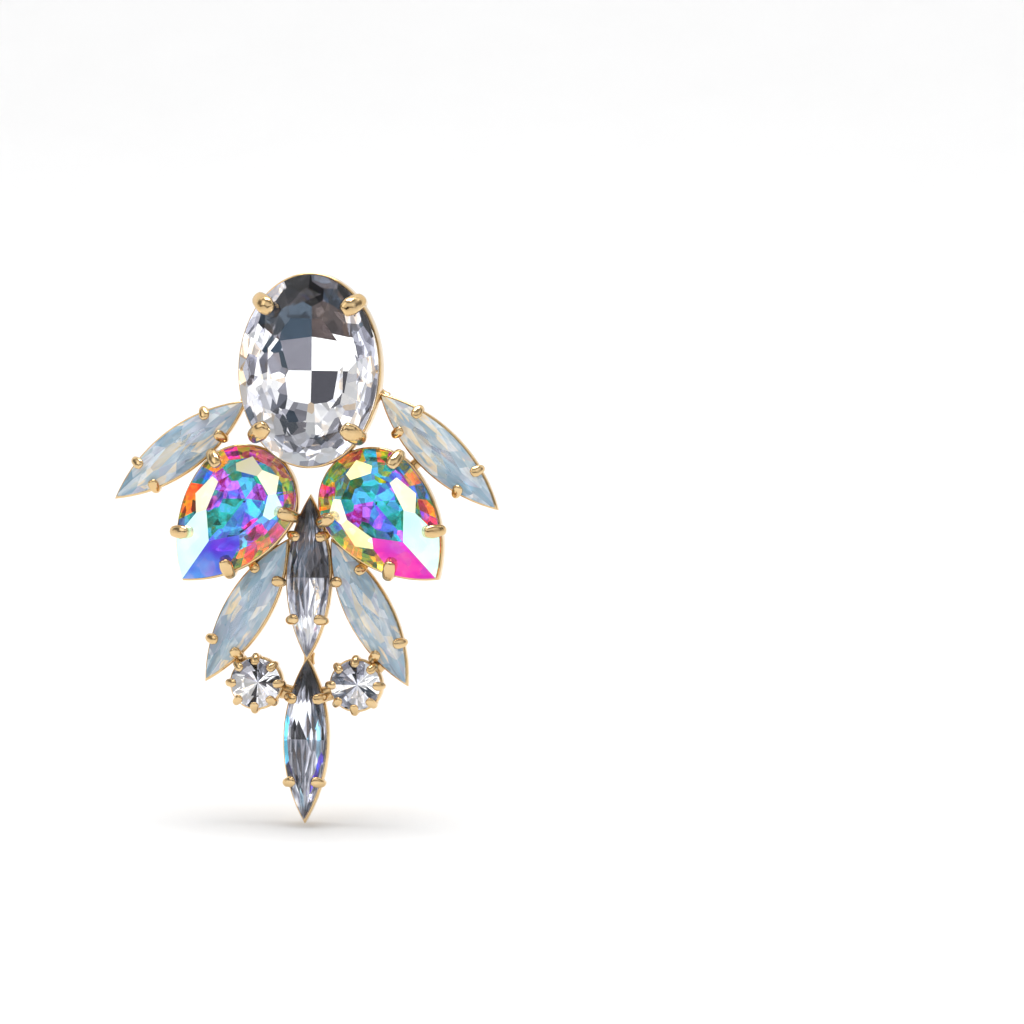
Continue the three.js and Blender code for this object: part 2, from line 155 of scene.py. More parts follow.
class Material:
    # a new material and its nodes; the world is made the same way further down
    store, outputKind = "materials", "ShaderNodeOutputMaterial"

    def __init__(self, name):
        self.data = getattr(bpy.data, self.store).new(name)
        self.data.use_nodes = True
        self.tree = self.data.node_tree
        self.tree.nodes.clear()
        self.output = self.tree.nodes.new(self.outputKind)

    def fill(self, socket, value):
        if isinstance(value, Socket):
            self.tree.links.new(value.socket, socket)
        elif value is not None:
            socket.default_value = (*value, 1.0) if socket.type == "RGBA" and len(value) == 3 else value

    def node(self, kind, settings=None, *values, out=0, **named):
        # a node of any type: its settings, then values or links for its first inputs and for named ones
        made = self.tree.nodes.new(kind)
        for key, value in (settings or {}).items():
            if key != "stops":
                setattr(made, key, value)
                continue
            ramp = made.color_ramp
            while len(ramp.elements) < len(value):
                ramp.elements.new(0.5)
            for element, (place, colour) in zip(ramp.elements, value):
                element.position, element.color = place, (*colour, 1.0)
        for socket, value in zip(made.inputs, values):
            self.fill(socket, value)
        for key, value in named.items():
            self.fill(made.inputs[key.replace("_", " ")], value)
        return Socket(self, made.outputs[out])

    def attribute(self, name, out="Fac"):
        return self.node("ShaderNodeAttribute", {"attribute_name": name}, out=out)

    def place(self):
        # the point on the piece, in metres
        return self.node("ShaderNodeTexCoord", out="Object")

    def stretched(self, shares):
        # the point in its stone's own axes, in mm: across, along and out of the face
        own = self.attribute("own", "Vector")
        return self.node("ShaderNodeVectorMath", {"operation": "MULTIPLY"}, own, shares)

    def noise(self, scale, detail=3.0, vector=None, distortion=0.0):
        return self.node("ShaderNodeTexNoise", Vector=vector or self.place(), Scale=scale, Detail=detail,
                         Distortion=distortion)

    def streaks(self, look):
        # from -0.5 to 0.5, drawn out along the stone
        vector = self.stretched(look["streakShares"])
        return self.noise(look["streakScale"], look["streakDetail"], vector, look["streakBend"]) - 0.5

    def cells(self, scale, shares=(1.0, 1.0, 1.0)):
        # one even random number for each cell of a net laid over the stone, in cells per mm
        colour = self.node("ShaderNodeTexVoronoi", Vector=self.stretched(shares), Scale=scale, out="Color")
        return self.node("ShaderNodeSeparateColor", None, colour, out="Red")

    def mixColour(self, factor, first, second, blend="MIX"):
        # the two colours are the node's seventh and eighth inputs
        settings = {"data_type": "RGBA", "blend_type": blend}
        return self.node("ShaderNodeMix", settings, factor, *[None] * 5, first, second, out=2)

    def ramp(self, factor, stops):
        return self.node("ShaderNodeValToRGB", {"stops": stops}, factor)

    def surface(self, **named):
        return self.node("ShaderNodeBsdfPrincipled", **named)

    def finish(self, surface):
        self.tree.links.new(surface.socket, self.output.inputs["Surface"])
        return self.data


def greys(stops):
    # a ramp's stops from places and brightnesses
    return [(place, (bright, bright, bright)) for place, bright in stops]


gold = {
    "tones": [(0.3, (0.72, 0.49, 0.23)), (0.5, (0.76, 0.54, 0.28)), (0.72, (0.80, 0.59, 0.33))],
    "deep": (0.42, 0.22, 0.07),  # what the solder darkens towards
    "cloudScale": 640.0, "cloudDetail": 5.0, "grainScale": 2600.0,
    "roughness": 0.11, "uneven": 0.08, "bump": 0.1, "bumpDepth": 0.00004,
}


def goldMaterial(name, rougher=0.0, darker=0.0):
    m = Material(name)
    cloud = m.noise(gold["cloudScale"], gold["cloudDetail"])
    fine = m.noise(gold["grainScale"])
    tone = m.mixColour(darker, m.ramp(cloud, gold["tones"]), gold["deep"])
    grain = m.node("ShaderNodeBump", Strength=gold["bump"], Distance=gold["bumpDepth"], Height=fine)
    roughness = gold["roughness"] + rougher + fine * gold["uneven"]
    return m.finish(m.surface(Base_Color=tone, Metallic=1.0, Roughness=roughness, Normal=grain))


# the clear stones' foil: a real mirror whose colour is painted reflections and painted shade, facet by facet,
# with painted glints, and whose glow is painted light
clearGlass = {
    "ior": 1.5, "crown": [(0.97, 0.98, 1.0), (1.0, 1.0, 1.0)], "crownScale": 700.0,
    "foilRoughness": 0.012, "glow": 0.42, "drift": 0.03, "driftScale": 600.0, "driftDetail": 2.0,
    "streak": 0.85, "streakScale": 2.0, "streakDetail": 2.0, "streakShares": (1.0, 0.13, 1.0),
    "streakBend": 0.4, "cells": 0.7,
    # from the black of a facet that looks away from the light to the white of one that faces it, a violet
    # glint below them and amber and cyan ones above; "span" is the stretch of tones that the row covers
    "span": (-0.3, 1.3),
    "tones": [
        (-0.3, (0.16, 0.10, 0.62)), (-0.25, (0.010, 0.010, 0.012)), (0.04, (0.010, 0.010, 0.012)),
        (0.12, (0.030, 0.030, 0.036)), (0.22, (0.085, 0.085, 0.100)), (0.28, (0.110, 0.085, 0.080)),
        (0.34, (0.048, 0.072, 0.102)), (0.42, (0.20, 0.20, 0.235)), (0.5, (0.32, 0.32, 0.37)),
        (0.58, (0.56, 0.57, 0.64)), (0.66, (0.86, 0.87, 0.92)), (0.72, (1.0, 1.0, 1.0)),
        (0.88, (1.0, 1.0, 1.0)), (0.94, (0.86, 0.62, 0.38)), (1.0, (1.0, 0.98, 0.95)),
        (1.2, (1.0, 1.0, 1.0)), (1.25, (0.16, 0.74, 1.0)),
    ],
}
rainbowGlass = {
    # the glows of the coating and of the foil are painted light
    "ior": 1.5, "skinRoughness": 0.07, "skinGlow": 0.44, "skinScale": 300.0, "skinDrift": 0.14,
    "foilRoughness": 0.04, "foilGlow": 0.5, "patchScale": 820.0, "patchBend": 1.6, "patchShare": 0.2,
    "cells": 0.75, "paintedReflectionCells": 1.05, "paintedReflectionShares": (1.0, 1.0, 1.7),
    # how bright the painted small reflections are, from cell to cell
    "depth": greys([(0.0, 0.1), (0.12, 0.4), (0.28, 1.0), (1.0, 1.4)]),
    "foil": [
        (0.0, (0.05, 0.17, 0.55)), (0.08, (0.07, 0.36, 0.66)), (0.16, (0.02, 0.38, 0.38)),
        (0.24, (0.02, 0.14, 0.10)), (0.32, (0.20, 0.36, 0.02)), (0.4, (0.78, 0.50, 0.02)),
        (0.48, (0.95, 0.26, 0.04)), (0.56, (0.50, 0.05, 0.03)), (0.64, (0.90, 0.10, 0.16)),
        (0.72, (0.92, 0.05, 0.42)), (0.8, (0.20, 0.01, 0.16)), (0.87, (0.46, 0.14, 0.90)),
        (0.94, (0.10, 0.08, 0.66)), (1.0, (0.05, 0.17, 0.55)),
    ],
    "skin": [
        (0.0, (1.0, 0.93, 0.34)), (0.12, (1.0, 0.93, 0.64)), (0.24, (1.0, 0.97, 0.86)),
        (0.36, (0.62, 0.98, 0.88)), (0.48, (0.12, 0.62, 0.90)), (0.6, (0.07, 0.03, 0.50)),
        (0.72, (0.80, 0.02, 0.36)), (0.84, (0.90, 0.20, 0.08)), (0.94, (0.72, 0.36, 0.02)),
        (1.0, (1.0, 0.93, 0.34)),
    ],
}
milkyGlass = {
    # the opal's glow is painted light
    "ior": 1.46, "crown": (0.95, 0.98, 1.0), "crownRoughness": 0.02, "glow": 0.24,
    "veilIor": 1.5, "veilRoughness": 0.12, "veilUneven": 0.06, "veilScale": 900.0, "coatRoughness": 0.02,
    "foilLift": 0.06, "foilMetal": 0.8, "foilRoughness": 0.1,
    "streak": 0.45, "streakScale": 1.5, "streakDetail": 3.0, "streakShares": (1.0, 0.16, 1.0),
    # the cells and the glints share give painted glints
    "streakBend": 0.5, "cells": 1.3, "cellShares": (1.0, 0.3, 1.0), "glints": 0.35,
    # the opal's own milky blue-greys, with painted white highlights and painted cream glints among them
    "tones": [
        (0.08, (0.26, 0.33, 0.38)), (0.24, (0.22, 0.38, 0.50)), (0.36, (0.40, 0.50, 0.58)),
        (0.48, (0.46, 0.47, 0.58)), (0.56, (0.80, 0.86, 0.90)), (0.64, (0.38, 0.52, 0.62)),
        (0.70, (0.42, 0.52, 0.60)), (0.73, (1.0, 0.78, 0.48)), (0.79, (1.0, 0.86, 0.62)),
        (0.83, (0.92, 0.91, 0.90)), (0.94, (0.36, 0.44, 0.52)),
    ],
}


def clearCrown():
    m = Material("clear_crown")
    tint = m.mixColour(m.noise(clearGlass["crownScale"], 2.0), *clearGlass["crown"])
    return m.finish(m.surface(Base_Color=tint, Roughness=0.0, IOR=clearGlass["ior"], Transmission_Weight=1.0))


def clearFoil(name, streak):
    m = Material(name)
    drift = m.noise(clearGlass["driftScale"], clearGlass["driftDetail"]) - 0.5
    # painted small reflections, which break up each facet
    broken = (m.cells(clearGlass["cells"]) - 0.5) * m.attribute("film")
    stray = m.attribute("tone") + drift * clearGlass["drift"] + m.streaks(clearGlass) * streak + broken
    low, high = clearGlass["span"]
    stops = [((tone - low) / (high - low), colour) for tone, colour in clearGlass["tones"]]
    # painted reflections and painted shade of the facets, which also glow with painted light
    shade = m.ramp((stray - low) * (1 / (high - low)), stops)
    return m.finish(m.surface(Base_Color=shade, Metallic=1.0, Roughness=clearGlass["foilRoughness"],
                              Emission_Color=shade, Emission_Strength=clearGlass["glow"]))


def rainbowCrown():
    m = Material("rainbow_crown")
    drift = m.noise(rainbowGlass["skinScale"], 2.0) - 0.5
    turn = (m.attribute("tone") + drift * rainbowGlass["skinDrift"] + 1.0).fraction()
    shade = m.ramp(turn, rainbowGlass["skin"])
    glass = m.surface(Base_Color=(1.0, 1.0, 1.0), Roughness=0.0, IOR=rainbowGlass["ior"],
                      Transmission_Weight=1.0)
    # the coating's own colours, glowing with painted light
    film = m.surface(Base_Color=shade, Metallic=1.0, Roughness=rainbowGlass["skinRoughness"],
                     Emission_Color=shade, Emission_Strength=rainbowGlass["skinGlow"])
    return m.finish(m.node("ShaderNodeMixShader", None, m.attribute("film"), glass, film))


def rainbowFoil():
    m = Material("rainbow_foil")
    patch = m.noise(rainbowGlass["patchScale"], 2.0, distortion=rainbowGlass["patchBend"]) - 0.5
    # painted small reflections inside each facet
    broken = (m.cells(rainbowGlass["cells"]) - 0.5) * m.attribute("film")
    turn = (m.attribute("tone") + patch * rainbowGlass["patchShare"] + broken + 1.0).fraction()
    # painted reflections: some cells of the foil bright, some dark
    depth = m.ramp(m.cells(rainbowGlass["paintedReflectionCells"], rainbowGlass["paintedReflectionShares"]), rainbowGlass["depth"])
    shade = m.mixColour(1.0, m.ramp(turn, rainbowGlass["foil"]), depth, "MULTIPLY")
    # the foil glows with painted light
    return m.finish(m.surface(Base_Color=shade, Metallic=1.0, Roughness=rainbowGlass["foilRoughness"],
                              Emission_Color=shade, Emission_Strength=rainbowGlass["foilGlow"]))


def milkyTone(m, lift):
    # painted glints from cell to cell, over the opal's own tone
    glints = m.cells(milkyGlass["cells"], milkyGlass["cellShares"]) - 0.5
    tone = m.attribute("tone") + m.streaks(milkyGlass) * milkyGlass["streak"]
    return m.ramp(tone + glints * milkyGlass["glints"] + lift, milkyGlass["tones"])


def milkyCrown():
    m = Material("milky_crown")
    shade = milkyTone(m, 0.0)
    glass = m.surface(Base_Color=milkyGlass["crown"], Roughness=milkyGlass["crownRoughness"],
                      IOR=milkyGlass["ior"], Transmission_Weight=1.0)
    roughness = milkyGlass["veilRoughness"] + m.noise(milkyGlass["veilScale"]) * milkyGlass["veilUneven"]
    # the milky veil, glowing with painted light
    veil = m.surface(Base_Color=shade, Roughness=roughness, IOR=milkyGlass["veilIor"], Coat_Weight=1.0,
                     Coat_Roughness=milkyGlass["coatRoughness"], Emission_Color=shade,
                     Emission_Strength=milkyGlass["glow"])
    return m.finish(m.node("ShaderNodeMixShader", None, m.attribute("film"), glass, veil))


def milkyFoil():
    m = Material("milky_foil")
    shade = milkyTone(m, milkyGlass["foilLift"])
    # the foil's tones glow with painted light
    return m.finish(m.surface(Base_Color=shade, Metallic=milkyGlass["foilMetal"],
                              Roughness=milkyGlass["foilRoughness"], Emission_Color=shade,
                              Emission_Strength=milkyGlass["glow"]))


# Stones, cut from a prism by one plane after another
facetRows = {
    # part, count, phase, shares of the reach and of the height at which each plane starts and ends, and the
    # numbers of its facets where it hasn't all of them
    "oval": [
        ("crownMain", 8, 0.0, (1.0, 0.12), (0.54, 1.0)),
        ("crownRim", 16, 0.5, (1.0, 0.0), (0.80, 0.50)),
        ("pavilionHeart", 4, 0.5, (0.52, 0.80), (0.0, 1.0)),
        ("pavilionMain", 8, 0.5, (0.80, 0.50), (0.32, 0.91), (1, 2, 5, 6)),
        ("pavilionSide", 8, 0.5, (0.86, 0.42), (0.68, 0.738), (0, 3, 4, 7)),
        ("pavilionLow", 11, 0.3, (0.80, 0.52), (0.36, 0.885), range(5, 11)),
        ("pavilionLow", 14, 0.15, (0.88, 0.36), (0.48, 0.82), range(7, 14)),
        ("pavilionMid", 16, 0.0, (0.92, 0.24), (0.58, 0.74)),
        ("pavilionRim", 16, 0.5, (1.0, 0.0), (0.74, 0.60)),
    ],
    "pear": [
        ("crownMain", 8, 0.5, (1.0, 0.14), (0.5, 1.0)),
        ("crownRim", 16, 0.5, (1.0, 0.0), (0.78, 0.52), range(2, 14)),
        ("pavilionHeart", 6, 0.5, (0.55, 0.78), (0.0, 1.0)),
        ("pavilionMain", 12, 0.0, (0.84, 0.42), (0.34, 0.90)),
        ("pavilionRim", 24, 0.5, (1.0, 0.0), (0.62, 0.64)),
    ],
    "navette": [
        ("crownMain", 8, 0.0, (1.0, 0.0), (0.42, 1.0)),
        ("crownRim", 8, 0.5, (1.0, 0.0), (0.74, 0.62)),
        ("pavilionMain", 8, 0.5, (0.84, 0.42), (0.0, 1.0)),
        ("pavilionTip", 8, 0.0, (0.9, 0.2), (0.3, 0.86), (0, 4)),
        ("pavilionMid", 16, 0.5, (0.94, 0.2), (0.4, 0.78)),
        ("pavilionRim", 12, 0.5, (1.0, 0.0), (0.6, 0.62)),
    ],
    "chaton": [
        ("crownMain", 8, 0.0, (1.0, 0.0), (0.5, 1.0)),
        ("crownRim", 16, 0.5, (1.0, 0.0), (0.80, 0.50)),
        ("crownStar", 8, 0.5, (0.80, 0.55), (0.5, 1.0)),
        ("pavilionMain", 16, 0.5, (1.0, 0.0), (0.0, 1.0)),
        ("pavilionRim", 16, 0.0, (1.0, 0.0), (0.25, 0.80)),
    ],
}

# How each facet answers the light, painted into its colour as painted reflections and painted shade: the
# place of its tone in the finish's own row of tones. Places on a stone run from -1 to 1, across it and up it
ovalLook = {
    # by the signs of the place, across and up
    "pavilionHeart": {(-1, 1): 0.43, (1, 1): 0.76, (-1, -1): 0.78, (1, -1): 0.18},
    "pavilionMain": {(-1, 1): 0.34, (1, 1): 0.27, (-1, -1): 0.42, (1, -1): 0.68},
    "pavilionSide": {(-1, 1): 0.72, (1, 1): 0.76, (-1, -1): 0.58, (1, -1): 0.66},
    # the rest by region, the first that holds the place: row of tones, stretch across, stretch up
    "regions": [
        ("black", (-0.4, 0.1), (0.3, 2.0)), ("black", (0.55, 2.0), (0.35, 0.6)),
        ("dark", (-0.4, 0.55), (0.3, 2.0)),
        ("foot", (-0.7, 0.7), (-2.0, -0.6)), ("low", (-0.7, 0.7), (-2.0, -0.15)),
    ],
    # rows of painted shade and painted reflections
    "black": [0.03, 0.05, 0.08],
    "dark": [0.04, 0.14, 0.24, 0.3, 0.42, 0.8],
    "darkRim": [0.16, 0.22, 0.28, 0.3],
    "low": [0.05, 0.2, 0.44, 0.58, 0.66, 0.72, 0.76, 0.78],
    "foot": [0.5, 0.58, 0.64, 0.68, 0.72, 0.76],
    "side": [0.34, 0.44, 0.52, 0.58, 0.6, 0.64, 0.72, 0.8, 0.84, 0.92],
}
navetteLook = {
    # painted reflections and painted shade, darker towards the tips
    "tip": [0.04, 0.12, 0.2, 0.28, 0.44], "tipFrom": 0.45,
    "waist": [0.12, 0.24, 0.36, 0.5, 0.6], "waistFrom": 0.05,
    "middle": [0.34, 0.46, 0.54, 0.6, 0.66, 0.7],
    "bottom": [0.3, 0.44, 0.48, 0.52, 0.56, 0.6, 0.66],
    # the painted cyan and violet glints of the bottom stone: part, tone, stretch across, stretch up
    "glints": [
        ("pavilionRim", 1.6, (-2.0, -0.4), (-0.3, 0.3)),
        ("pavilionMid", -0.6, (0.0, 2.0), (-0.6, -0.2)),
    ],
}
chatonLook = {
    # painted reflections and painted shade, dark and light facets in turn
    "tones": [0.72, 0.05, 0.76, 0.5, 0.18, 0.78, 0.42, 0.7, 0.06, 0.56, 0.76, 0.3], "step": 5,
    "stray": 3,
}
lemon, cream, ice, violet, magenta, coral = 0.03, 0.13, 0.34, 0.58, 0.70, 0.86
pearLook = {
    # the eight main facets of the crown, from the right of the tip anticlockwise: tone, and how opaque the
    # coating is
    "pear_left": [
        (violet, 0.85), (coral, 0.05), (ice, 0.8), (cream, 0.85),
        (cream, 0.95), (violet, 0.04), (cream, 0.9), (ice, 0.88),
    ],
    "pear_right": [
        (ice, 0.85), (cream, 0.9), (violet, 0.12), (lemon, 0.8),
        (coral, 0.05), (cream, 0.85), (lemon, 0.7), (magenta, 0.8),
    ],
    "thin": 0.03,  # the coating on the other facets
    "under": [0.97, 0.0, 0.02, 0.05, 0.1, 0.15, 0.2, 0.24, 0.82, 0.88, 0.94],
    "edge": [0.06, 0.18, 0.3, 0.36, 0.38, 0.42, 0.42, 0.46, 0.48, 0.5, 0.6, 0.7],
}
milkyLook = {
    "tones": [0.12, 0.2, 0.26, 0.36, 0.44, 0.5, 0.56, 0.62, 0.68, 0.74, 0.78],
    "veil": {"table": 0.42, "crownMain": 0.55}, "otherVeil": 0.62,
}
# how far the painted small reflections inside a facet of the foil stray from its tone
brokenLook = {
    "rainbow": {"pavilionHeart": 0.16, "pavilionMain": 0.2, "pavilionRim": 0.3},
    "oval": {"pavilionLow": 0.66, "pavilionMid": 0.4, "pavilionRim": 0.3, "pavilionSide": 0.1},
    "navette": {"pavilionMid": 0.15, "pavilionRim": 0.15},
    "chaton": {"pavilionMain": 0.3, "pavilionRim": 0.4},
}


def signOf(number):
    return 1 if number > 0 else -1


def within(spot, stretchAcross, stretchUp):
    return stretchAcross[0] < spot[0] < stretchAcross[1] and stretchUp[0] < spot[1] < stretchUp[1]


def ovalTone(part, spot, dice):
    if part in ("pavilionHeart", "pavilionMain", "pavilionSide"):
        return ovalLook[part][signOf(spot[0]), signOf(spot[1])]
    for row, across, up in ovalLook["regions"]:
        if within(spot, across, up):
            return dice.choice(ovalLook["darkRim" if row == "dark" and part == "pavilionRim" else row])
    return dice.choice(ovalLook["side"])


def navetteTone(name, part, spot, dice):
    for glintPart, tone, across, up in navetteLook["glints"]:
        if name == "bottom" and part == glintPart and within(spot, across, up):
            return tone
    if spot[1] > navetteLook["tipFrom"]:
        return dice.choice(navetteLook["tip"])
    return dice.choice(navetteLook[name if spot[1] < navetteLook["waistFrom"] else "waist"])


def facetTone(name, finish, kind, part, order, spot, dice):
    if kind == "oval":
        return ovalTone(part, spot, dice)
    if kind == "chaton":
        tones = chatonLook["tones"]
        return tones[(order * chatonLook["step"] + dice.integers(chatonLook["stray"])) % len(tones)]
    if finish == "clear":
        return navetteTone(name, part, spot, dice)
    if finish == "milky":
        return dice.choice(milkyLook["tones"])
    if part == "crownMain":
        return pearLook[name][order][0]
    return dice.choice(pearLook["edge" if part == "pavilionRim" or part.startswith("crown") else "under"])


def facetFilm(name, finish, kind, part, order, spot):
    # on a crown how much of the glass the coating or the milkiness hides, on a foil how far the painted small
    # reflections stray
    if finish == "rainbow":
        if part == "crownMain":
            return pearLook[name][order][1]
        return brokenLook["rainbow"].get(part, pearLook["thin"])
    if finish == "milky":
        return milkyLook["veil"].get(part, milkyLook["otherVeil"])
    if kind == "oval" and part == "pavilionMain" and spot[1] < 0:
        return brokenLook[kind]["pavilionLow"]
    return brokenLook[kind].get(part, 0.0)


def cutAway(faces, normal, distance, tag):
    # keeps what lies behind a plane and closes the cut with a face of its own
    near, same = 1e-9, 1e-6
    kept, onPlane = [], []
    slanting = [0.3, 0.5, 0.8]  # no plane's own direction
    for points, name in faces:
        beyond = points @ normal - distance
        if (beyond <= near).all():
            kept.append((points, name))
            onPlane.extend(points[np.abs(beyond) <= near])
            continue
        if (beyond >= -near).all():
            continue
        trimmed = []
        for i in range(len(points)):
            j = (i + 1) % len(points)
            if beyond[i] <= 0:
                trimmed.append(points[i])
            if (beyond[i] < 0 < beyond[j]) or (beyond[j] < 0 < beyond[i]):
                cross = points[i] + (points[j] - points[i]) * (beyond[i] / (beyond[i] - beyond[j]))
                trimmed.append(cross)
                onPlane.append(cross)
        kept.append((np.array(trimmed), name))
    corners = []
    for point in onPlane:
        if all(np.linalg.norm(point - other) > same for other in corners):
            corners.append(point)
    if len(corners) > 2 and len(kept) < len(faces) + 1:
        centre = np.mean(corners, 0)
        first = np.cross(normal, slanting)
        first /= np.linalg.norm(first)
        second = np.cross(normal, first)
        around = sorted(corners, key=lambda q: math.atan2((q - centre) @ second, (q - centre) @ first))
        kept.append((np.array(around), tag))
    return kept


def stoneFaces(kind):
    # the faces of a cut stone, each with the part and number that its tone goes by
    cut = cuts[kind]
    edge = outline(kind, 48)
    heights = (-cut["pavilion"], cut["girdle"] + cut["crown"])
    bottom, top = [np.column_stack([edge, np.full(len(edge), height)]) for height in heights]
    faces = [(bottom[::-1], ("culet", 0)), (top, ("table", 0))]
    for i in range(len(edge)):
        j = (i + 1) % len(edge)
        faces.append((np.array([bottom[i], bottom[j], top[j], top[i]]), ("girdle", i)))
    for part, count, phase, (startReach, startRise), (endReach, endRise), *only in facetRows[kind]:
        tall = cut["crown"] if part.startswith("crown") else -cut["pavilion"]
        base = cut["girdle"] if part.startswith("crown") else 0.0
        for k in only[0] if only else range(count):
            spot = (k + phase) / count * len(edge)
            a, b = edge[math.ceil(spot) - 1], edge[(math.floor(spot) + 1) % len(edge)]
            outward = np.array([b[1] - a[1], a[0] - b[0]]) / math.hypot(*(b - a))
            reach = (edge @ outward).max()
            start = (reach * startReach, base + tall * startRise)
            end = (reach * endReach, base + tall * endRise)
            run = np.array([end[0] - start[0], end[1] - start[1]])
            lean = np.array([run[1], -run[0]]) / np.linalg.norm(run) * signOf(run[1])
            normal = np.array([outward[0] * lean[0], outward[1] * lean[0], lean[1]])
            faces = cutAway(faces, normal, lean[0] * start[0] + lean[1] * start[1], (part, k))
    return faces


def makeMesh(name, points, polygons, materials, slots=None, smooth=None):
    # smooth is the angle in degrees up to which an edge is rounded by shading
    mesh = bpy.data.meshes.new(name)
    mesh.from_pydata([tuple(p) for p in points], [], [tuple(int(i) for i in f) for f in polygons])
    for material in materials:
        mesh.materials.append(material)
    if slots is not None:
        mesh.polygons.foreach_set("material_index", np.array(slots, np.int32))
    mesh.validate()
    if smooth is not None:
        mesh.polygons.foreach_set("use_smooth", [True] * len(mesh.polygons))
        mesh.set_sharp_from_angle(angle=math.radians(smooth))
    made = bpy.data.objects.new(name, mesh)
    bpy.context.scene.collection.objects.link(made)
    return made


def makeStone(name, kind, x, z, turn, finish, materials, seed):
    # one mesh, with a tone and a film for each face and the place in the stone for each corner
    points, own, polygons, slots, tones, films = [], [], [], [], [], []
    dice = np.random.default_rng(seed)
    cut = cuts[kind]
    same = 2e-8  # corners nearer than this many metres are one
    for corners, (part, order) in stoneFaces(kind):
        ids = []
        for corner, q in zip(corners, toWorld(corners, kind, x, z, turn)):
            near = [i for i, known in enumerate(points) if np.abs(known - q).max() < same]
            if not near:
                points.append(q)
                own.append(corner)
            ids.append(near[0] if near else len(points) - 1)
        ids = [i for n, i in enumerate(ids) if i != ids[n - 1]]
        if len(ids) < 3:
            continue
        middle = corners.mean(0)
        spot = (middle[0] * 2 / cut["width"], middle[1] * 2 / cut["length"])
        polygons.append(ids)
        slots.append(1 if part.startswith("pavilion") or part == "culet" else 0)
        # the tone: painted reflections and painted shade on the clear stones, colour on the others
        tones.append(float(facetTone(name, finish, kind, part, order, spot, dice)))
        films.append(facetFilm(name, finish, kind, part, order, spot))
    stone = makeMesh(name + "_cut", points, polygons, materials, slots)
    for label, values in (("tone", tones), ("film", films)):
        stone.data.attributes.new(label, "FLOAT", "FACE").data.foreach_set("value", values)
    stone.data.attributes.new("own", "FLOAT_VECTOR", "POINT").data.foreach_set("vector", np.ravel(own))
    return stone


finishes = {
    "clear": ([clearCrown(), clearFoil("clear_foil", 0.0)], "clear_crystal"),
    "rainbow": ([rainbowCrown(), rainbowFoil()], "rainbow_crystal"),
    "milky": ([milkyCrown(), milkyFoil()], "milky_opal"),
}
# the navettes' foil, with painted streaks of reflection along the stone
streakedFoil = clearFoil("streaked_foil", clearGlass["streak"])
seeds = {
    # the dice of each stone, chosen one by one
    "oval": 23, "pear_left": 211, "pear_right": 183, "wing_left": 171, "wing_right": 372, "middle": 238,
    "lower_left": 223, "lower_right": 124, "bottom": 467, "chaton_left": 119, "chaton_right": 170,
}
for name, kind, x, z, turn, finish in plan:
    materials, slotName = finishes[finish]
    if finish == "clear" and kind == "navette":
        materials = [materials[0], streakedFoil]
    stone = makeStone(name, kind, x, z, turn, finish, materials, seeds[name])
    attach(stone, "root")
    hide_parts(name + "_stone")
print("stones cut:", len(plan))

# Cups: one smooth shell round each stone, with a rounded rim
shell = {
    "rimRadius": 0.17, "rimSteps": 6, "footRound": 0.16,
    "seat": [(-0.14, -0.34), (-0.42, -0.62)],  # the slope under the stone's edge, inwards and down
    "well": (-0.8, -1.1), "wellAboveBack": 0.7, "floorInset": 0.42,
    "points": {"oval": 128, "pear": 128, "navette": 80, "chaton": 64},
}


def loft(rings):
    # a closed skin over rings of points
    count = len(rings[0])
    points = np.concatenate(rings)
    polygons = []
    for r in range(len(rings) - 1):
        for i in range(count):
            a, b = r * count + i, r * count + (i + 1) % count
            polygons.append((a, b, b + count, a + count))
    polygons.append(tuple(range(count))[::-1])
    polygons.append(tuple(range((len(rings) - 1) * count, len(rings) * count)))
    return points, polygons


def cupProfile(kind):
    # pairs of offset and height, up the outside, over the rim and down the inside
    out, back, drawn = cup["proud"], -cupDepth(kind), taperOf(kind)
    belly, edge, radius = back * cup["belly"], shell["footRound"], shell["rimRadius"]
    foot = [
        (out - drawn - edge, back),
        (out - drawn - edge * 0.3, back + edge * 0.25),
        (out - drawn + edge * 0.12, back + edge),
    ]
    wall = [(out - drawn * (1 - t) ** 2.0, back + edge + (belly - back - edge) * t)
            for t in (0.25, 0.5, 0.75)]
    centre, level = out - radius, -cup["rimDrop"] - radius
    over = [(centre + radius * math.cos(a), level + radius * math.sin(a))
            for a in np.linspace(0, math.pi, shell["rimSteps"] + 1)]
    well, wellHeight = shell["well"]
    floorOffset = -min(cup["taper"] + shell["floorInset"], cuts[kind]["width"] / 4)
    inside = [(well, max(wellHeight, back + shell["wellAboveBack"])), (floorOffset, back + cup["back"])]
    return foot + wall + [(out, belly)] + over + shell["seat"] + inside


def joinParts(parts):
    points, polygons, start = [], [], 0
    for somePoints, somePolygons in parts:
        points.append(somePoints)
        polygons.extend(tuple(i + start for i in f) for f in somePolygons)
        start += len(somePoints)
    return np.concatenate(points), polygons


goldPolished = goldMaterial("gilt_polished")
goldSolder = goldMaterial("gilt_solder", rougher=0.1, darker=0.12)

shells = []
for name, kind, x, z, turn, finish in plan:
    count = shell["points"][kind]
    rings = []
    for offset, height in cupProfile(kind):
        flat = outline(kind, count, offset)
        rings.append(toWorld(np.column_stack([flat, np.full(count, height)]), kind, x, z, turn))
    shells.append(loft(rings))
cups = makeMesh("claw_cups", *joinParts(shells), [goldPolished], smooth=38)

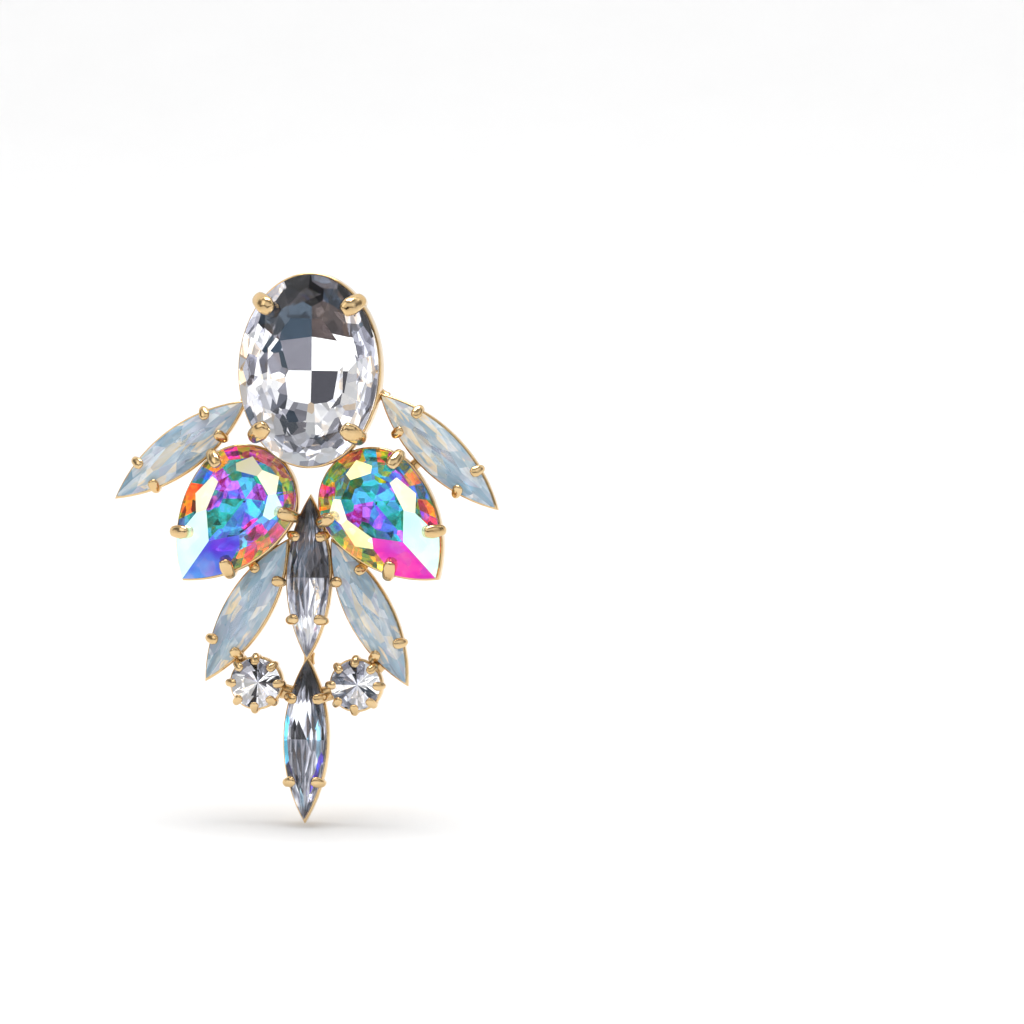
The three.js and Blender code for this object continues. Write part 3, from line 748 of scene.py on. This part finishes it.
# Claws: a wire up the side that bends over the crown and ends in a rounded pad
claws = {
    "oval": {"wire": 1.05, "thick": 0.7, "pad": 1.8, "padThick": 1.2, "reach": 1.45, "foot": 0.92},
    "pear": {"wire": 0.85, "thick": 0.6, "pad": 1.3, "padThick": 0.85, "reach": 1.15, "foot": 0.9},
    "navette": {"wire": 0.6, "thick": 0.5, "pad": 1.05, "padThick": 0.6, "reach": 0.62, "foot": 0.85},
    "chaton": {"wire": 0.55, "thick": 0.42, "pad": 0.85, "padThick": 0.5, "reach": 0.5, "foot": 0.9},
}
clawSpots = {
    "ovalDegrees": [46, 134, 223, 317], "pearRoundDegrees": 18, "pearFlankShare": 0.66, "navetteShare": 0.53,
    "chatonCount": 8,
}
clawBend = {
    "seatGap": 0.12, "steps": 5, "sides": 14,
    "footSink": 0.8, "bellySink": 0.02,  # a share of the taper, and mm
    "shoulder": (0.74, 0.8), "padStart": 0.42, "padEnd": 0.86,
    "endLift": 0.7, "endWidth": 0.8, "endThick": 0.85, "capDegrees": [25, 48, 68, 84], "capLength": 0.2,
}


def clawFeet(kind):
    # where each claw stands on the stone's edge, and the way outwards there
    cut = cuts[kind]
    half, length = cut["width"] / 2, cut["length"]
    feet = []
    if kind == "oval":
        for degrees in clawSpots["ovalDegrees"]:
            a = math.radians(degrees)
            foot = np.array([half * math.cos(a), length / 2 * math.sin(a)])
            normal = np.array([math.cos(a) * length, math.sin(a) * cut["width"]])
            feet.append((foot, normal / np.linalg.norm(normal)))
    elif kind == "pear":
        tip = length - half
        shift = (tip**2 - half**2) / (2 * half)
        flank = math.asin(-tip * clawSpots["pearFlankShare"] / (half + shift))
        high = math.radians(clawSpots["pearRoundDegrees"])
        for hand in (1, -1):
            normal = np.array([hand * math.cos(high), math.sin(high)])
            feet.append((normal * half, normal))
            normal = np.array([hand * math.cos(flank), math.sin(flank)])
            out, along = (half + shift) * math.cos(flank) - shift, (half + shift) * math.sin(flank)
            feet.append((np.array([hand * out, along]), normal))
    elif kind == "navette":
        bow = (length**2 / 4 + half**2) / (2 * half)
        lean = math.asin(length / 2 * clawSpots["navetteShare"] / bow)
        for a in (lean, -lean):
            for hand in (1, -1):
                normal = np.array([hand * math.cos(a), math.sin(a)])
                feet.append((np.array([normal[0] * bow - hand * (bow - half), normal[1] * bow]), normal))
    else:
        for k in range(clawSpots["chatonCount"]):
            a = 2 * math.pi * k / clawSpots["chatonCount"]
            normal = np.array([math.cos(a), math.sin(a)])
            feet.append((normal * half, normal))
    return feet


def smoothPath(rows, steps):
    # Catmull-Rom through rows of numbers
    rows = np.array(rows, float)
    ends = np.vstack([2 * rows[0] - rows[1], rows, 2 * rows[-1] - rows[-2]])
    path = []
    for i in range(1, len(ends) - 2):
        a, b, c, d = ends[i - 1:i + 3]
        for t in np.arange(steps) / steps:
            square, cube = 2 * a - 5 * b + 4 * c - d, 3 * b - a - 3 * c + d
            path.append(0.5 * (2 * b + (c - a) * t + square * t**2 + cube * t**3))
    path.append(rows[-1])
    return np.array(path)


def claw(kind, foot, normal):
    cut, c, bend = cuts[kind], claws[kind], clawBend
    slope = cut["crown"] / (foot @ normal * (1 - cut["table"]))
    clear = bend["seatGap"] + c["thick"] / 2
    crownAt = lambda inset: cut["girdle"] + slope * inset + clear * math.hypot(1, slope)
    lift = (c["padThick"] - c["thick"]) / 2
    shoulderOut, shoulderUp = bend["shoulder"]
    padStart, padEnd = c["reach"] * bend["padStart"], c["reach"] * bend["padEnd"]
    path = smoothPath([
        # out, up, width, thickness
        (cup["proud"] - taperOf(kind) * bend["footSink"], -cupDepth(kind) * c["foot"], c["wire"], c["thick"]),
        (cup["proud"] - bend["bellySink"], -cupDepth(kind) * cup["belly"], c["wire"], c["thick"]),
        (clear, cut["girdle"] / 2, c["wire"], c["thick"]),
        (clear * shoulderOut, cut["girdle"] + clear * shoulderUp, (c["wire"] + c["pad"]) / 2, c["thick"]),
        (-padStart, crownAt(padStart) + lift, c["pad"], c["padThick"]),
        (-padEnd, crownAt(padEnd) + lift * bend["endLift"], c["pad"] * bend["endWidth"],
         c["padThick"] * bend["endThick"]),
    ], bend["steps"])
    # the rounded end
    last, before = path[-1], path[-2]
    step = (last - before)[:2]
    step /= np.linalg.norm(step)
    cap = [[*(last[:2] + step * bend["capLength"] * c["pad"] * math.sin(a)), *(last[2:] * math.cos(a))]
           for a in np.radians(bend["capDegrees"])]
    path = np.vstack([path, cap])
    along = np.gradient(path[:, :2], axis=0)
    along /= np.linalg.norm(along, axis=1)[:, None]
    across = np.stack([along[:, 1], -along[:, 0]], 1)
    tangent = np.array([-normal[1], normal[0]])
    angles = 2 * math.pi * np.arange(bend["sides"]) / bend["sides"]
    rings = []
    for (out, up, wide, thick), (acrossOut, acrossUp) in zip(path, across):
        sideways = -wide / 2 * np.cos(angles)
        face = thick / 2 * np.sin(angles)
        outwards = out + acrossOut * face
        rings.append(np.column_stack([
            foot[0] + normal[0] * outwards + tangent[0] * sideways,
            foot[1] + normal[1] * outwards + tangent[1] * sideways,
            up + acrossUp * face,
        ]))
    return rings


wires = []
for name, kind, x, z, turn, finish in plan:
    for foot, normal in clawFeet(kind):
        rings = [toWorld(ring, kind, x, z, turn) for ring in claw(kind, foot, normal)]
        wires.append(loft(rings))
clawPiece = makeMesh("claws", *joinParts(wires), [goldPolished], smooth=60)

# Solder between neighbouring cups
solder = {
    "radius": 0.5, "link": 0.72, "bite": 0.45, "height": 0.95, "rings": 13, "sides": 20, "flare": 0.25,
    "endShare": 0.75,
}
soldered = [("middle", "bottom", "radius")]
for hand in ("_left", "_right"):
    soldered += [
        ("oval", "pear" + hand, "radius"), ("oval", "wing" + hand, "radius"),
        ("pear" + hand, "wing" + hand, "radius"), ("pear" + hand, "middle", "radius"),
        ("middle", "lower" + hand, "radius"), ("pear" + hand, "lower" + hand, "radius"),
        ("lower" + hand, "chaton" + hand, "link"), ("chaton" + hand, "bottom", "link"),
    ]


def girdleInPlan(name):
    _, kind, x, z, turn, _ = next(row for row in plan if row[0] == name)
    return np.column_stack(inPlan(outline(kind, 160), x, z, turn))


def solderJoint(first, second, radius):
    # a short rod between the nearest points of two stones' edges, thicker towards the cups
    a, b = girdleInPlan(first), girdleInPlan(second)
    gaps = np.linalg.norm(a[:, None] - b[None], axis=2)
    i, j = np.unravel_index(gaps.argmin(), gaps.shape)
    way = (b[j] - a[i]) / gaps[i, j]
    total = gaps[i, j] + 2 * solder["bite"]
    angles = 2 * math.pi * np.arange(solder["sides"]) / solder["sides"]
    rings = []
    for t in np.linspace(0, 1, solder["rings"]):
        spot = a[i] - way * solder["bite"] + way * total * t
        end = solder["endShare"] if t in (0.0, 1.0) else 1.0
        swell = radius * (1.0 + solder["flare"] * (2 * t - 1) ** 2) * end
        rings.append(np.column_stack([
            spot[0] - way[1] * swell * np.cos(angles),
            -cup["padBehind"] - solder["height"] - swell * np.sin(angles),
            spot[1] + way[0] * swell * np.cos(angles),
        ]) * mm)
    return loft(rings)


blobs = [solderJoint(first, second, solder[size]) for first, second, size in soldered]
blobPiece = makeMesh("solder_joints", *joinParts(blobs), [goldSolder], smooth=60)

# The post and its pad, turned about +Y
post = {
    "length": 11.0, "radius": 0.42, "pad": 2.3, "padThick": 0.6, "bury": 0.2, "chamfer": 0.1, "fillet": 0.35,
    "round": 0.12, "sides": 48, "tipAngles": (0.2, 1.5), "axis": 0.004,
}


def postProfile():
    # pairs of radius and place along +Y, from the pad's front in the cup to the tip
    pad, edge, wire, fillet = post["pad"], post["round"], post["radius"], post["fillet"]
    front = -post["padThick"] - post["bury"]
    profile = [(0.0, front), (pad - post["chamfer"], front), (pad, -post["padThick"])]
    for a in np.linspace(0, math.pi / 2, 5):
        profile.append((pad - edge * (1 - math.cos(a)), -edge * (1 - math.sin(a))))
    for a in np.linspace(0, math.pi / 2, 7):
        profile.append((wire + fillet * (1 - math.sin(a)), fillet * (1 - math.cos(a))))
    profile.append((wire, post["length"] - wire))
    for a in np.linspace(*post["tipAngles"], 6):
        profile.append((wire * math.cos(a), post["length"] - wire * (1 - math.sin(a))))
    return profile


angles = 2 * math.pi * np.arange(post["sides"]) / post["sides"]
rings = []
for radius, along in postProfile():
    wide = max(radius, post["axis"])
    level = np.full(len(angles), along)
    rings.append(np.column_stack([wide * np.cos(angles), level, -wide * np.sin(angles)]) * mm)
postPiece = makeMesh("ear_post", *loft(rings), [goldPolished], smooth=40)

for piece in (cups, clawPiece, blobPiece, postPiece):
    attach(piece, "root")
    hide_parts("soldered_setting")

# Floor and studio, in metres but for the first line, which is in mm
studio = {
    "bottom": -46.73, "under": 0.35, "tipY": -3.0, "riseFrom": -90.0, "step": 5, "bend": 80.0, "slope": 0.2,
    "front": [-1.6, -0.4], "behind": [0.05, 0.15, 0.25], "cove": 0.25, "coveStart": 0.15, "wall": 0.5,
    "top": 2.2, "halfWidth": 2.2,
    "paper": [(0.85, 0.85, 0.85), (0.87, 0.87, 0.87)], "paperScale": 90.0, "roughness": 0.7,
    # the paper glows towards its sides, out of the lamps' reach
    "glow": greys([(0.0, 0.06), (0.35, 0.06), (1.0, 1.0)]), "glowStrength": 0.45,
}


def floorPaper():
    m = Material("floor_white")
    reach = m.node("ShaderNodeVectorMath", {"operation": "LENGTH"}, m.place(), out="Value")
    paper = m.mixColour(m.noise(studio["paperScale"], 2.0), *studio["paper"])
    return m.finish(m.surface(Base_Color=paper, Roughness=studio["roughness"],
                              Emission_Color=m.ramp(reach, studio["glow"]),
                              Emission_Strength=studio["glowStrength"]))


def floorRise(y):
    # the paper lifts gently behind the tip, then runs on at the same slope
    run = max(0.0, y / mm - studio["riseFrom"])
    bent = min(run, studio["bend"])
    return (bent**2 / (2 * studio["bend"]) + run - bent) * studio["slope"] * mm


def floorSweep():
    # pairs of y and height, from in front of the earring to the top of the wall behind it
    cove = studio["cove"]
    underTip = [v * mm for v in range(int(studio["riseFrom"]), 0, studio["step"])]
    sweep = [(y, floorRise(y)) for y in studio["front"] + underTip + studio["behind"]]
    for a in np.linspace(studio["coveStart"], math.pi / 2, 10):
        lean = cove * studio["slope"] * math.sin(a) * math.cos(a)
        sweep.append((cove + cove * math.sin(a), floorRise(cove) + cove * (1 - math.cos(a)) + lean))
    sweep.append((studio["wall"], studio["top"]))
    level = (studio["bottom"] - studio["under"]) * mm - floorRise(studio["tipY"] * mm)
    return [(y, up + level) for y, up in sweep]


sweep = floorSweep()
points = [(x, y, up) for y, up in sweep for x in (-studio["halfWidth"], studio["halfWidth"])]
strips = [(2 * i, 2 * i + 1, 2 * i + 3, 2 * i + 2) for i in range(len(sweep) - 1)]
floor = makeMesh("floor", points, strips, [floorPaper()], smooth=60)

lamps = [
    # name, place and aim in metres, size, watts
    ("keyLeft", (-0.55, -0.45, 0.5), (0.0, 0.0, -0.02), (0.5, 0.7), 0.7),
    ("fillRight", (0.7, -0.35, 0.25), (0.0, 0.0, -0.02), (0.35, 0.6), 0.3),
    ("top", (0.0, -0.03, 0.4), (0.0, 0.0, -0.02), (0.3, 0.15), 1.4),
    ("backdrop", (0.0, 0.05, 0.4), (0.0, 0.45, 0.04), (0.9, 0.1), 0.3),
]
for name, at, aim, size, watts in lamps:
    data = bpy.data.lights.new(name, "AREA")
    data.shape, data.size, data.size_y, data.energy = "RECTANGLE", size[0], size[1], watts
    lamp = bpy.data.objects.new(name, data)
    lamp.location = at
    lamp.rotation_euler = (Vector(aim) - Vector(at)).to_track_quat("-Z", "Y").to_euler()
    bpy.context.scene.collection.objects.link(lamp)


class World(Material):
    store, outputKind = "worlds", "ShaderNodeOutputWorld"


skyLook = {
    "strength": 0.9,
    # white but for a dark band in front, between the ceiling light and the table, and a dim zenith: in front
    # from straight down to straight up, behind from the horizon up
    "front": [
        (0.0, (1, 1, 1)), (0.54, (1, 1, 1)), (0.57, (0.10, 0.10, 0.11)), (0.63, (0.12, 0.12, 0.13)),
        (0.66, (1, 1, 1)), (0.84, (1, 1, 1)), (0.9, (0.3, 0.3, 0.3)),
    ],
    "behind": greys([(0.66, 1), (0.8, 0.3)]),
    "frontShare": greys([(0.0, 0), (0.25, 1)]),
    # a dark ring on either hand, for the sides of the rounded metal
    "flank": (0.22, 0.22, 0.23), "flankShare": greys([(0.64, 0), (0.84, 1), (0.955, 1), (0.985, 0)]),
    # the dark round the lens, which keeps a veil off the flat tables of the stones
    "lens": (0.05, 0.05, 0.05), "lensShare": greys([(0.94, 0), (0.975, 1)]),
}
sky = World("studio")
direction = sky.node("ShaderNodeTexCoord", out="Generated")
across, depth, height = [sky.node("ShaderNodeSeparateXYZ", None, direction, out=axis) for axis in "XYZ"]
ahead = depth * -1.0
skyColour = sky.mixColour(sky.ramp(ahead, skyLook["frontShare"]), sky.ramp(height, skyLook["behind"]),
                          sky.ramp(height * 0.5 + 0.5, skyLook["front"]))
skyColour = sky.mixColour(sky.ramp(abs(across), skyLook["flankShare"]), skyColour, skyLook["flank"])
skyColour = sky.mixColour(sky.ramp(ahead, skyLook["lensShare"]), skyColour, skyLook["lens"])
bpy.context.scene.world = sky.finish(sky.node("ShaderNodeBackground", None, skyColour, skyLook["strength"]))
print("studio set up:", len(lamps), "lamps")

# Camera
lens = {
    "azimuth": 7.0, "elevation": 1.0, "distance": 0.62, "roll": 1.06, "sensor": 36.0, "clip": (0.01, 20),
    # the middle of the oval in the picture, and in the frame in metres
    "picturePx": 1024, "pxPerMm": 10.65, "ovalPx": (308.3, 370.5), "ovalFront": (0.0, -0.0053, -0.004),
}
cameraData = bpy.data.cameras.new("camera")
camera = bpy.data.objects.new("camera", cameraData)
bpy.context.scene.collection.objects.link(camera)
bpy.context.scene.camera = camera
az, el = math.radians(lens["azimuth"]), math.radians(lens["elevation"])
back = Vector((math.sin(az) * math.cos(el), -math.cos(az) * math.cos(el), math.sin(el)))
forward = -back
levelRight = forward.cross(Vector((0, 0, 1))).normalized()
levelUp = levelRight.cross(forward)
roll = math.radians(lens["roll"])
right = levelRight * math.cos(roll) + levelUp * math.sin(roll)
up = levelUp * math.cos(roll) - levelRight * math.sin(roll)
cameraData.sensor_width = lens["sensor"]
cameraData.lens = lens["sensor"] * lens["distance"] / (lens["picturePx"] / lens["pxPerMm"] * mm)
cameraData.clip_start, cameraData.clip_end = lens["clip"]
# the picture's middle, as seen from the oval's
shiftRight = (lens["picturePx"] / 2 - lens["ovalPx"][0]) / lens["pxPerMm"] * mm
shiftUp = -(lens["picturePx"] / 2 - lens["ovalPx"][1]) / lens["pxPerMm"] * mm
middle = Vector(lens["ovalFront"]) + right * shiftRight + up * shiftUp
camera.location = middle + back * lens["distance"]
camera.rotation_euler = Matrix((right, up, back)).transposed().to_euler()

view = bpy.context.scene.view_settings
view.view_transform = "Standard"
view.look = "None"
print("camera at", tuple(round(c, 3) for c in camera.location))
